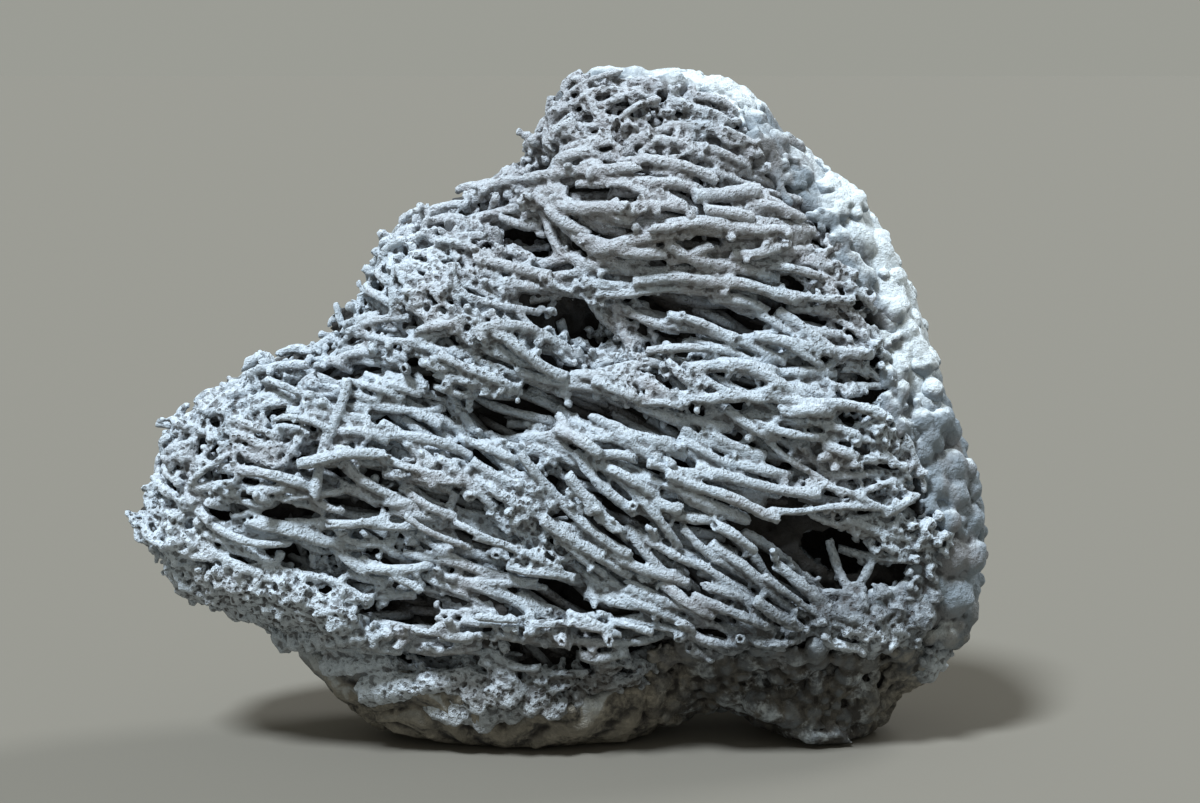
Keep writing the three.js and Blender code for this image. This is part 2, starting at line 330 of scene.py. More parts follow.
# share of these patches at each vertex
def patchShare(name, places):
    shares = sum(bell(patch, places[:, 0], places[:, 2]) for patch in lie[name])
    return np.clip(shares, 0, 1)


def hollowRule(x, z):
    return sum(bell(patch, x, z, patch[4]) for patch in lie["hollows"])


def hollowDepth(x, z):
    return sum(patch[5] * bell(patch, x, z, patch[4]) for patch in lie["hollows"])


# the stems lie in sheets: each stands out at its lower edge and falls back towards the next
def sheetRule(x, z):
    sheets = lie["sheets"]
    tilt = math.radians(sheets["tilt"])
    spots = zip(x.ravel(), z.ravel())
    wander = np.array([
        noise.noise(Vector((across, 0, up)) / sheets["wander"]) for across, up in spots
    ]).reshape(x.shape)
    step = ((z * math.cos(tilt) - x * math.sin(tilt)) / sheets["pitch"] + 0.8 * wander) % 1
    return sheets["lift"] * (0.5 - step) * (1 - 0.5 * crumbRule(x, z))


# A rule worked out once over the whole front of the rock, then read by place
class FrontMap:
    start = (-0.2, -0.03)
    steps = (400, 330)
    pitch = 0.001

    def __init__(self, rule):
        x, z = (
            start + self.pitch * np.arange(count) for start, count in zip(self.start, self.steps)
        )
        self.values = rule(*np.meshgrid(x, z, indexing="ij")).tolist()

    def at(self, place):
        column = round((place.x - self.start[0]) / self.pitch)
        row = round((place.z - self.start[1]) / self.pitch)
        return self.values[column][row]


rules = (slopeRule, tangleRule, crumbRule, hollowRule, hollowDepth, sheetRule)
slopeMap, tangleMap, crumbMap, hollowMap, depthMap, sheetMap = map(FrontMap, rules)
report("maps made")


# Body: the solid's own form with its facets smoothed away
bodySettings = {"voxel": 0.003, "smoothings": 14}


def makeBody(settings):
    bm = bmesh.new()
    bm.from_mesh(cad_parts["tufa"].data)
    bmesh.ops.remove_doubles(bm, verts=bm.verts, dist=1e-6)
    body = newPiece("body", meshFrom(bm, "body"))
    fuse(body, settings["voxel"], settings["smoothings"])
    return body


body = makeBody(bodySettings)
bodyPlaces = placesOf(body.data)
bodyNormals = normalsOf(body.data)
bodyFaces = [tuple(polygon.vertices) for polygon in body.data.polygons]
bodyTree = BVHTree.FromPolygons(bodyPlaces.tolist(), bodyFaces)
bodyFront = (bodyPlaces[:, 0], bodyPlaces[:, 2], -bodyNormals[:, 1])  # x, z and facing, for a rule
report(f"body smoothed, {len(bodyFaces)} faces")


# Rim: how far the body reaches in each direction, as seen from the front
def rimTable():
    across = bodyPlaces[:, 0] - lie["centre"][0]
    up = bodyPlaces[:, 2] - lie["centre"][1]
    steps = np.round(np.degrees(np.arctan2(up, across))).astype(int) % 360
    table = np.zeros(360)
    np.maximum.at(table, steps, np.hypot(across, up))
    return table


rim = rimTable()


# share of the way from the centre to the rim, and the direction in degrees
def outness(x, z):
    across, up = x - lie["centre"][0], z - lie["centre"][1]
    direction = np.degrees(np.arctan2(up, across))
    reach = np.interp(direction % 360, np.arange(361), np.append(rim, rim[0]))
    return np.hypot(across, up) / reach, direction


# 1 on the broken face, 0 on the rind
def broken(x, z, facing):
    out, direction = outness(x, z)
    edge = np.interp(direction, *zip(*lie["faceEdge"]))
    foot = np.interp(x, *zip(*lie["faceFoot"]))
    inside = 1 - smoothstep(edge - 0.02, edge + 0.02, out)
    above = smoothstep(foot - 0.004, foot + 0.004, z)
    return inside * above * smoothstep(-0.3, 0.12, facing)


def surfaceNear(point):
    place, normal, _, _ = bodyTree.find_nearest(point)
    return place, normal


def pickPlace(rng, picks):
    pick = rng.choice(picks)
    return Vector(bodyPlaces[pick]), Vector(bodyNormals[pick])


# places picked on the broken face until this many are wanted ones
def pickPlaces(rng, count, wanted):
    made = 0
    while made < count:
        place, normal = pickPlace(rng, facePicks)
        if wanted(place, normal):
            made += 1
            yield place, normal


# the place on the front of the body at this x and z
def frontAt(x, z):
    place, normal, _, _ = bodyTree.ray_cast(Vector((x, -1, z)), Vector((0, 1, 0)))
    if place is None:
        return surfaceNear(Vector((x, -0.05, z)))
    return place, normal


faceMap = FrontMap(lambda x, z: broken(x, z, 1.0))


# Small shapes that are copied many times into one mesh
templates = {}


def ballTemplate(subdivisions):
    if subdivisions not in templates:
        bm = bmesh.new()
        bmesh.ops.create_icosphere(bm, subdivisions=subdivisions, radius=1)
        templates[subdivisions] = meshFrom(bm, "ball")
    return templates[subdivisions]


# a closed tube of radius 1 from z 0 to 1, its top end a ring round a blind hole
def stemTemplate(rings, sides, wall):
    key = (rings, sides)
    if key not in templates:
        bm = bmesh.new()
        bmesh.ops.create_cone(
            bm, cap_ends=True, segments=sides, radius1=1, radius2=1, depth=1,
            matrix=Matrix.Translation((0, 0, 0.5)),
        )
        sideEdges = [
            edge for edge in bm.edges if abs(edge.verts[0].co.z - edge.verts[1].co.z) > 0.5
        ]
        bmesh.ops.subdivide_edges(bm, edges=sideEdges, cuts=rings - 1)
        top = max(bm.faces, key=lambda face: face.calc_center_median().z)
        bmesh.ops.inset_individual(bm, faces=[top], thickness=wall)
        hole = bmesh.ops.extrude_discrete_faces(bm, faces=[top])["faces"][0]
        bmesh.ops.translate(bm, verts=hole.verts, vec=(0, 0, -1.6 / rings))
        templates[key] = meshFrom(bm, "stem")
    return templates[key]


def addCopy(bm, template, places):
    mesh = template.copy()
    mesh.vertices.foreach_set("co", places.ravel())
    bm.from_mesh(mesh)
    bpy.data.meshes.remove(mesh)


def addBall(bm, place, radius, flatness=1.0, normal=None, subdivisions=1, uneven=0.0):
    template = ballTemplate(subdivisions)
    local = placesOf(template)
    if uneven:
        local *= (1 + uneven * grain(local, 0.8, 3, 100 * place.x))[:, None]
    local *= radius
    if normal is not None:
        local[:, 2] *= flatness
        local = local @ np.array(normal.to_track_quat("Z", "Y").to_matrix()).T
    addCopy(bm, template, local + np.array(place))


# loose grains that touch nothing are dropped
def dropLoose(piece, smallest):
    bm = bmesh.new()
    bm.from_mesh(piece.data)
    seen, loose = set(), []
    for vert in bm.verts:
        if vert in seen:
            continue
        island = [vert]
        seen.add(vert)
        for member in island:
            for edge in member.link_edges:
                other = edge.other_vert(member)
                if other not in seen:
                    seen.add(other)
                    island.append(other)
        if len(island) < smallest:
            loose += island
    bmesh.ops.delete(bm, geom=loose, context="VERTS")
    bm.to_mesh(piece.data)
    bm.free()


# Where knobs grow, in shares past the face's edge, and how far the body is sunk below them
knobZone = {"fromEdge": -0.035, "toEdge": 0.16, "sink": 0.0026, "footSink": 0.0036}


def pastEdge(x, z):
    out, direction = outness(x, z)
    return out - np.interp(direction, *zip(*lie["faceEdge"])), direction


# the dark foot under the ledge at the right
def footRule(x, z):
    across = smoothstep(0.024, 0.044, x) * smoothstep(0.132, 0.11, x)
    return across * smoothstep(0.048, 0.038, z) * smoothstep(0.004, 0.012, z)


footMap = FrontMap(footRule)


# how strongly knobs grow, along the rind at the right and over the dark foot below it
def knobbly(x, z, facing):
    past, direction = pastEdge(x, z)
    band = smoothstep(knobZone["fromEdge"], knobZone["fromEdge"] + 0.03, past)
    band *= smoothstep(knobZone["toEdge"] + 0.05, knobZone["toEdge"], past)
    band *= smoothstep(-66, -50, direction) * smoothstep(92, 70, direction)
    band *= smoothstep(0.008, 0.018, z)
    return np.maximum(band, footRule(x, z)) * smoothstep(-0.75, -0.35, facing)


# Mass: the block behind the stems, with the knobbly rind of its right side, crown, back and foot
massSettings = {
    "seed": 8,
    "voxel": 0.0018,
    "sink": 0.0125,
    "lumps": 900,
    "lumpRadius": (0.002, 0.004),
    "hollowRange": (-0.009, 0.02),
    "creviceDepth": 0.009,
    "mostTriangles": 100000,
}


def makeMass(settings):
    x, z, facing = bodyFront
    weight = broken(x, z, facing) * smoothstep(-0.3, 0.5, facing)
    sink = settings["sink"] + np.clip(hollowDepth(x, z), *settings["hollowRange"])
    front = smoothstep(-0.2, 0.4, facing)
    inset = knobbly(x, z, facing) * smoothstep(0.002, 0.01, z) * knobZone["sink"]
    inset += footRule(x, z) * front * knobZone["footSink"]
    inset += settings["creviceDepth"] * bell(lie["crevice"], x, z) * front
    places = bodyPlaces - bodyNormals * (weight * sink + (1 - weight) * inset)[:, None]
    mesh = body.data.copy()
    setPlaces(mesh, places)
    bm = bmesh.new()
    bm.from_mesh(mesh)
    rng = random.Random(settings["seed"])
    picks = np.flatnonzero(weight > 0.6).tolist()
    for pick in rng.choices(picks, k=settings["lumps"]):
        addBall(bm, places[pick], rng.uniform(*settings["lumpRadius"]), subdivisions=2)
    mass = newPiece("tufaMass", meshFrom(bm, "tufaMass"))
    fuse(mass, settings["voxel"], 1)
    thin(mass, settings["mostTriangles"])
    return mass


mass = makeMass(massSettings)
report(f"mass fused, {len(mass.data.polygons)} faces")


# Rind relief: rounded lumps on the back and sides, curved plates at the left of the foot,
# porous stone at its right, rough stone behind the stems
reliefSettings = {
    "lump": 0.0125,
    "lumpHeight": 0.004,
    "smallLump": 0.0056,
    "smallLumpHeight": 0.0017,
    "rough": 0.004,
    "roughHeight": 0.0022,
    "platePitch": 0.0135,
    "plateHeight": 0.0036,
    "pore": 0.005,
    "poreDepth": 0.0024,
}


# with share 0 the form stays as it is, and no broken face and no plates are marked
def shapeRind(piece, settings, share=1.0):
    mesh = piece.data
    places, normals = placesOf(mesh), normalsOf(mesh)
    x, z = places[:, 0], places[:, 2]
    face = broken(x, z, -normals[:, 1])
    big = cells(places, settings["lump"])
    small = cells(places + big[:, None] * 0.001, settings["smallLump"])
    rough = grain(places, settings["rough"], 3)
    wander = grain(places, 0.045, 2, 5)
    lumps = settings["lumpHeight"] * (0.5 - 1.5 * big * big)
    lumps += settings["smallLumpHeight"] * (0.4 - 1.4 * small * small)
    low = smoothstep(0.066, 0.046, z)
    plated = low * smoothstep(0.045, 0.01, x)
    porous = smoothstep(0.05, 0.036, z) * (1 - plated)
    step = (z / settings["platePitch"] + 2.2 * wander + 14 * x + 0.3 * big) % 1
    plates = smoothstep(-0.3, 0.72, step) * (1 - smoothstep(0.72, 1.0, step)) - 0.4
    lips = plated * smoothstep(0.5, 0.68, step) * (1 - smoothstep(0.86, 0.98, step))
    pores = -settings["poreDepth"] * smoothstep(0.55, 0.15, cells(places, settings["pore"]))
    pores -= 0.0006 * rough
    rind = lumps * (1 - 0.45 * plated) + plated * (settings["plateHeight"] * plates)
    rind += porous * pores
    lift = settings["roughHeight"] * rough * (0.3 + 0.7 * face + 0.25 * plated)
    lift += (1 - face) * rind
    lift *= smoothstep(0.0005, 0.004, z) * share
    pushOut(mesh, places, normals, lift)
    # painted shadow: the crevice over the foot is marked like the broken face, which the rind
    # finish darkens
    gap = bell(lie["crevice"], x, z) * smoothstep(0, 0.5, -normals[:, 1])
    addValues(mesh, face=np.maximum(face, gap) * share, lip=lips * share)
    addValues(mesh, frost=patchShare("frosts", places))
    addValues(mesh, up=normalsOf(mesh)[:, 2], cavity=cavityOf(mesh, 2))
    shadeSmooth(mesh)


shapeRind(mass, reliefSettings)
report("rind shaped")


# Knobs: the rounded knobs, pebbles and crumbs of the rind at the right and at the foot
knobSettings = {
    "seed": 3,
    "voxel": 0.0009,
    "smoothings": 4,
    "mostTriangles": 120000,
    "smallest": 160,
    "clearDepth": 0.5,  # the depths are in radii
    "knobs": 430,
    "knobRadius": (0.002, 0.0066),
    "knobDepth": (0.6, 0.85),
    "footKnobs": 90,
    "footKnobRadius": (0.0028, 0.0052),
    "footKnobDepth": 0.35,
    "crumbs": 900,
    "crumbRadius": (0.0012, 0.0024),
    "grains": 14,
    "grain": 0.0017,
    "grainHeight": 0.00022,
}


def makeKnobs(settings):
    rng = random.Random(settings["seed"])
    bm = bmesh.new()
    past, _ = pastEdge(*bodyFront[:2])
    picks = np.flatnonzero(knobbly(*bodyFront) > 0.3).tolist()
    crumbPicks = [pick for pick in picks if past[pick] < 0.04 or bodyPlaces[pick, 2] < 0.046]

    # a knob is a ball with smaller grains grown over it
    def addKnob(place, normal, radius, depth):
        inset = depth * radius + knobZone["footSink"] * footMap.at(place)
        centre = place - normal * (inset + 0.18 * radius * (place.z > 0.15))
        addBall(bm, centre, radius, 0.92, normal, 2)
        for _ in range(settings["grains"]):
            side = anyDirection(rng)
            if side.dot(normal) > -0.2:
                addBall(bm, centre + side * radius * 0.72, radius * rng.uniform(0.26, 0.42))

    placed = []
    for x, z, radius in lie["knobs"]:
        place, normal = frontAt(x, z)
        placed.append((place, radius))
        addKnob(place, normal, radius, settings["clearDepth"])
    for _ in range(settings["knobs"]):
        place, normal = pickPlace(rng, picks)
        low, high = settings["knobRadius"]
        radius = low + (high - low) * rng.random() ** 1.8
        if all((place - other).length > 0.85 * reach for other, reach in placed):
            depth = rng.uniform(*settings["knobDepth"]) - 0.25 * footMap.at(place)
            addKnob(place, normal, radius, depth)
    footPicks = [pick for pick in picks if footMap.at(Vector(bodyPlaces[pick])) > 0.5]
    for _ in range(settings["footKnobs"]):
        place, normal = pickPlace(rng, footPicks)
        if bell(lie["crevice"], place.x, place.z) < 0.4:
            radius = rng.uniform(*settings["footKnobRadius"])
            addKnob(place, normal, radius, settings["footKnobDepth"])
    for _ in range(settings["crumbs"]):
        place, normal = pickPlace(rng, crumbPicks)
        radius = rng.uniform(*settings["crumbRadius"])
        inset = 0.0015 + knobZone["footSink"] * footMap.at(place)
        addBall(bm, place + normal * (rng.uniform(-0.6, 0.3) * radius - inset), radius)
    piece = newPiece("knobs", meshFrom(bm, "knobs"))
    fuse(piece, settings["voxel"], settings["smoothings"])
    thin(piece, settings["mostTriangles"])
    dropLoose(piece, settings["smallest"])
    shapeRind(piece, reliefSettings, 0.0)
    places = placesOf(piece.data)
    lift = settings["grainHeight"] * grain(places, settings["grain"])
    pushOut(piece.data, places, normalsOf(piece.data), lift)
    return piece


knobs = makeKnobs(knobSettings)
report(f"knobs fused, {len(knobs.data.polygons)} faces")


# what lies past this x at the left tip is pushed in, so that nothing leaves the outline
leftTip = {"x": -0.148, "push": 0.003}

# Stems: hollow lime casts that lie across the broken face in layers, the deepest in the dark behind
stemSettings = {
    "seed": 21,
    "sides": 8,
    "ringPitch": 0.0021,
    "wall": 0.42,
    "layers": [  # count, lowest and highest lay, most overlap in it, share kept over a hollow
        (420, -0.0125, -0.0085, 0.6, 1.0), (410, -0.007, -0.004, 0.42, 0.35),
        (430, -0.0016, 0.0018, 0.3, 0.03),
    ],
    "triesEach": 40,
    "deepRings": 0.6,
    "endLay": (-0.0045, 0.0002),
    "length": (0.016, 0.054),
    "radius": (0.0014, 0.0025),
    "thickPatch": (0.045, 0.2, 0.06, 0.04),  # x, z, half width, half height: thicker stems
    "knotPitches": (0.0021, 0.0049),
    "wave": (0.006, 0.0009),  # pitch, height
    "cell": 0.0015,
    "stubs": 650,
    "stubRadius": (0.0013, 0.0022),
    "stubSink": 0.007,
    "stubReach": (0.0005, 0.003),
}


def addStem(bm, start, end, radius, rng, settings, taper=0.0, detail=1.0, rise=Vector()):
    axis = end - start
    length = axis.length
    rings = max(2, min(28, round(length / settings["ringPitch"] * detail)))
    template = stemTemplate(rings, settings["sides"], settings["wall"])
    local = placesOf(template)
    spin = Matrix.Rotation(rng.random() * 6.28, 3, "Z").to_quaternion()
    turn = axis.to_track_quat("Z", "Y") @ spin
    share = local[:, 2].copy()
    phase = rng.random() * 50
    short, long = settings["knotPitches"]
    knots = np.sin(share * length / short + phase) * np.sin(share * length / long + phase * 3)
    swell = 1 + taper * (share - 0.5) + 0.1 * knots - 0.12 * (share > 0.999)
    bow = length * rng.uniform(-0.06, 0.06) * 4 * share * (1 - share)
    pitch, height = settings["wave"]
    wave = min(height, length * 0.03) * np.sin(share * length / pitch + phase)
    slant = local[:, 0] * rng.uniform(-0.7, 0.7) + local[:, 1] * rng.uniform(-0.7, 0.7)
    slant *= share > 0.9
    local[:, :2] *= (radius * swell)[:, None]
    local[:, 0] += bow
    local[:, 1] += wave
    local[:, 2] = share * length + slant * radius
    arch = (4 * share * (1 - share))[:, None] * np.array(rise)
    addCopy(bm, template, local @ np.array(turn.to_matrix()).T + np.array(start) + arch)


# the two ends of a stem laid over a random vertex of the body and how far its middle rises,
# or None where it doesn't fit
def stemEnds(rng, settings, layer):
    _, low, high, _, kept = layer
    place, normal = pickPlace(rng, facePicks)
    crumb = crumbMap.at(place)
    slope = math.radians(slopeMap.at(place) + rng.gauss(0, 9 + 18 * crumb + tangleMap.at(place)))
    along = alongSlope(slope)
    flat = along - normal * along.dot(normal)
    if flat.length < 0.55:
        return None
    flat.normalize()
    shortest, longest = settings["length"]
    length = shortest + (longest - shortest) * rng.random() ** 1.2 * (1 - 0.6 * crumb)
    if normal.y > -0.4:
        length *= 0.5
    lay = rng.uniform(low, high) + sheetMap.at(place)
    ends = []
    for side in (-0.5, 0.5):
        near, nearNormal = surfaceNear(place + flat * length * side)
        if nearNormal.y > -0.15 and length > 0.012:
            return None
        push = min(depthMap.at(near), 0.016) if high < 0 else 0
        if nearNormal.y > -0.4 or near.x < leftTip["x"]:
            push += leftTip["push"]
        ends.append(near + nearNormal * (lay - push + rng.uniform(*settings["endLay"])))
    start, end = ends
    if min(faceMap.at(start), faceMap.at(end)) < 0.25:
        return None
    for share in (0.15, 0.4, 0.6, 0.85):
        if hollowMap.at(start.lerp(end, share)) > 0.4 and rng.random() > kept:
            return None
    middle = start.lerp(end, 0.5)
    near, nearNormal = surfaceNear(middle)
    depth = (middle - near).dot(nearNormal)
    if depth > lay + 0.007:
        return None
    rise = Vector()
    if depth < lay and hollowMap.at(middle) < 0.3:
        gap = lay - depth + 0.0004
        rise = nearNormal * min(gap, 0.12 * length)
        start += nearNormal * (gap - rise.length) * 0.8
        end += nearNormal * (gap - rise.length) * 0.8
    return start, end, rise


zones = {
    "crownStems": lambda place: place.z > 0.205,
    "shoulderStems": lambda place: place.z > 0.15,
    "lobeStems": lambda place: place.x < -0.055,
    "middleStems": lambda place: place.x < 0.045,
    "rightStems": lambda place: True,
}


def zoneOf(place):
    return next(name for name, holds in zones.items() if holds(place))


# the small squares of the front that a stem covers
def cellsUnder(start, end, radius, cell):
    steps = max(2, int((end - start).length / cell))
    across = Vector((start.z - end.z, 0, end.x - start.x)).normalized() * radius * 0.6
    spots = [
        start.lerp(end, i / steps) + across * side for i in range(steps + 1) for side in (-1, 1)
    ]
    return {(round(spot.x / cell), round(spot.z / cell)) for spot in spots}


def placeStems(clumps, deep, settings):
    rng = random.Random(settings["seed"])
    laid = []
    clear = set()

    def layClear(start, end, radius):
        clear.update(cellsUnder(start, end, radius * 1.5, settings["cell"]))
        addStem(clumps[zoneOf(start.lerp(end, 0.5))], start, end, radius, rng, settings, 0.1)
        laid.append((start, end, radius, Vector()))

    for x0, z0, x1, z1, radius, lay0, lay1 in lie["clearStems"]:
        (start, startNormal), (end, endNormal) = frontAt(x0, z0), frontAt(x1, z1)
        layClear(start + startNormal * (lay0 + 0.002), end + endNormal * (lay1 + 0.002), radius)
    for *ends, radius in lie["caveStems"]:
        layClear(Vector(ends[:3]), Vector(ends[3:]), radius)
    for index, layer in enumerate(settings["layers"]):
        count, _, highest, overlap, _ = layer
        taken = set(clear) if highest > 0 else set()
        made = tries = 0
        while made < count and tries < settings["triesEach"] * count:
            tries += 1
            ends = stemEnds(rng, settings, layer)
            if ends is None:
                continue
            start, end, rise = ends
            middle = start.lerp(end, 0.5)
            if highest > 0 and rng.random() < 1.3 * crumbMap.at(middle) - 0.5:
                continue
            low, high = settings["radius"]
            thick = bell(settings["thickPatch"], middle.x, middle.z) - crumbMap.at(middle)
            radius = (low + (high - low) * rng.random()) * (1 + 0.25 * thick)
            under = cellsUnder(start, end, radius, settings["cell"])
            if len(under & taken) > overlap * len(under):
                continue
            taken |= under
            if rng.random() < 0.5:
                start, end = end, start
            taper = rng.uniform(-0.25, 0.25)
            if index:
                addStem(clumps[zoneOf(middle)], start, end, radius, rng, settings, taper, rise=rise)
                laid.append((start, end, radius, rise))
            else:
                addStem(deep, start, end, radius, rng, settings, taper, settings["deepRings"], rise)
            made += 1
        report(f"layer laid, {made} stems in {tries} tries")
    return laid


# broken ends that stick out of the crumbly crust
def placeStubs(clumps, settings):
    rng = random.Random(settings["seed"])

    def wanted(place, normal):
        crumbly = rng.random() <= 0.12 + crumbMap.at(place)
        return crumbly and hollowMap.at(place) <= 0.5 and place.x >= leftTip["x"] - 0.006

    for place, normal in pickPlaces(rng, settings["stubs"], wanted):
        slope = math.radians(slopeMap.at(place) + rng.gauss(0, 18))
        along = alongSlope(slope) * rng.choice((-1, 1))
        out = normal + along * rng.uniform(0.2, 1.4) + Vector((0, 0, rng.gauss(0, 0.3)))
        out.normalize()
        place += normal * sheetMap.at(place)
        start = place - out * settings["stubSink"]
        end = place + out * rng.uniform(*settings["stubReach"])
        radius = rng.uniform(*settings["stubRadius"])
        addStem(clumps[zoneOf(place)], start, end, radius, rng, settings)


# Crust: lime grains on the stems and between them, thickest where the rock is crumbly
crustSettings = {
    "seed": 5,
    "loose": 3000,
    "looseRadius": (0.0011, 0.0021),
    "lay": (-0.0045, 0.0006),
    "perStem": 2,
    "edge": 1300,
    "edgeLay": (0.0004, 0.006),
    "patches": 120,
    "patchLay": (-0.0035, -0.0005),
    "patchGrains": (7, 20),
    "patchSpread": (0.0042, 0.0017),
    "patchRadius": (0.001, 0.0021),
    "lumpGrains": 4.2e5,  # to a square metre of a lump's radius
    "lumpGrain": (0.0008, 0.0017),
    "uneven": 0.42,
    "popcornRadius": (0.0013, 0.0027),
    "popcornLay": (-0.003, 0.003),
}


def placeCrust(clumps, laid, settings):
    rng = random.Random(settings["seed"])

    # a grain is a ball flattened in a random direction
    def addGrain(spot, radius):
        turn = anyDirection(rng)
        addBall(clumps[zoneOf(spot)], spot, radius * 1.1, rng.uniform(0.5, 0.95), turn)

    # loose grains lie in patches where the rock is crumbly
    def onCrumb(place, normal):
        return rng.random() <= 0.03 + crumbMap.at(place) and noise.noise(place / 0.011) >= -0.1

    # grains close the edge at the left and the top, where the face turns away
    def onEdge(place, normal):
        return normal.y >= -0.45 and place.x <= 0.06

    def besideHollows(place, normal):
        return hollowMap.at(place) <= 0.35 and normal.y <= -0.2

    for place, normal in pickPlaces(rng, settings["loose"], onCrumb):
        spread = Vector((rng.gauss(0, 0.0015), rng.gauss(0, 0.001), rng.gauss(0, 0.0015)))
        lay = rng.uniform(*settings["lay"]) + sheetMap.at(place) - max(0, depthMap.at(place))
        lay -= leftTip["push"] * (place.x < leftTip["x"])
        addGrain(place + spread + normal * lay, rng.uniform(*settings["looseRadius"]))
    for place, normal in pickPlaces(rng, settings["edge"], onEdge):
        inward = rng.uniform(*settings["edgeLay"])
        addGrain(place - normal * inward, rng.uniform(*settings["patchRadius"]))
    for start, end, radius, rise in laid:
        for _ in range(settings["perStem"]):
            side = anyDirection(rng)
            share = rng.random()
            spot = start.lerp(end, share) + rise * 4 * share * (1 - share) + side * radius * 0.8
            addGrain(spot, radius * rng.uniform(0.35, 0.65))
    for place, normal in pickPlaces(rng, settings["patches"], besideHollows):
        along = alongSlope(math.radians(slopeMap.at(place)))
        across = normal.cross(along)
        base = place + normal * (rng.uniform(*settings["patchLay"]) + sheetMap.at(place))
        wide, narrow = settings["patchSpread"]
        for _ in range(rng.randint(*settings["patchGrains"])):
            spot = base + along * rng.gauss(0, wide) + across * rng.gauss(0, narrow)
            spot += normal * rng.gauss(0, 0.001)
            addGrain(spot, rng.uniform(*settings["patchRadius"]))
    for x, z, wide, high, count in lie["popcorn"]:
        for _ in range(count):
            place, normal = frontAt(x + rng.gauss(0, wide * 0.6), z + rng.gauss(0, high * 0.6))
            lay = rng.uniform(*settings["popcornLay"]) + 0.5 * sheetMap.at(place)
            lay -= leftTip["push"] * (place.x < leftTip["x"])
            addGrain(place + normal * lay, rng.uniform(*settings["popcornRadius"]))
    lobes = [
        (x0 + (x1 - x0) * share, z0 + (z1 - z0) * share, radius * (1 - 0.55 * share), 0.8, 0.0005)
        for x0, z0, x1, z1, radius in lie["lobes"] for share in np.linspace(0, 1, 9)
    ]
    for x, z, radius, flatness, lay in lie["lumps"] + lobes:
        place, normal = frontAt(x, z)
        tilted = (normal + Vector((0, 0, 0.8))).normalized()
        base = place + normal * lay
        clump = clumps[zoneOf(place)]
        addBall(clump, base, radius * 0.9, flatness, tilted, 3, settings["uneven"])
        for _ in range(round(settings["lumpGrains"] * radius ** 2)):
            side = anyDirection(rng)
            side -= tilted * side.dot(tilted) * (1 - flatness)
            addGrain(base + side * radius * 0.82, rng.uniform(*settings["lumpGrain"]))


# Clumps: stems and crust fused, one piece for each zone of the broken face
clumpSettings = {
    "voxel": 0.00074,
    "smoothings": 1,
    "smoothing": 0.5,
    "thinning": 0.465,
    "smallest": 160,
    "grain": 0.0015,
    "grainHeight": 0.00038,
    "pit": 0.0034,
    "pitDepth": 0.0012,
}


# how far each vertex lies outside the smoothed body, less inside
def heightsOf(places):
    heights = []
    for place in map(Vector, places):
        near, normal = surfaceNear(place)
        heights.append((place - near).dot(normal))
    return np.array(heights)


def finishClump(name, bm, settings, fused=True):
    piece = newPiece(name, meshFrom(bm, name))
    if fused:
        fuse(piece, settings["voxel"], settings["smoothings"], settings["smoothing"])
        report(f"{name} fused, {len(piece.data.polygons)} faces")
        thin(piece, 2 * settings["thinning"] * len(piece.data.polygons))
        dropLoose(piece, settings["smallest"])
    mesh = piece.data
    places, normals = placesOf(mesh), normalsOf(mesh)
    crumb = crumbRule(places[:, 0], places[:, 2])
    heights = heightsOf(places)
    pits = smoothstep(0.3, 0.12, cells(places, settings["pit"])) * crumb
    pits *= smoothstep(-0.006, -0.003, heights)
    lift = settings["grainHeight"] * grain(places, settings["grain"])
    lift -= settings["pitDepth"] * pits
    pushOut(mesh, places, normals, lift)
    addValues(mesh, height=heights, pit=pits, crumb=crumb, bleach=patchShare("pales", places))
    addValues(mesh, up=normalsOf(mesh)[:, 2], cavity=cavityOf(mesh, 1))
    shadeSmooth(mesh)
    report(f"{name} finished, {len(mesh.polygons)} faces")
    return piece


facePicks = np.flatnonzero(broken(*bodyFront) > 0.3).tolist()
clumps = {name: bmesh.new() for name in zones}
deepStems = bmesh.new()
laidStems = placeStems(clumps, deepStems, stemSettings)
placeStubs(clumps, stemSettings)
report("stems placed")
placeCrust(clumps, laidStems, crustSettings)
report("crust placed")
clumpPieces = [finishClump(name, bm, clumpSettings) for name, bm in clumps.items()]
clumpPieces.append(finishClump("deepStems", deepStems, clumpSettings, fused=False))
bpy.data.objects.remove(body)


# Finishes
class Value:  # a shader socket that can stand in a sum
    def __init__(self, finish, socket):
        self.finish = finish
        self.socket = socket

    def maths(self, operation, first, second):
        return self.finish.add("ShaderNodeMath", {"operation": operation}, {0: first, 1: second})

    def __add__(self, other):
        return self.maths("ADD", self, other)

    def __sub__(self, other):
        return self.maths("SUBTRACT", self, other)

    def __rsub__(self, other):
        return self.maths("SUBTRACT", other, self)

    def __mul__(self, other):
        return self.maths("MULTIPLY", self, other)

    __radd__ = __add__
    __rmul__ = __mul__


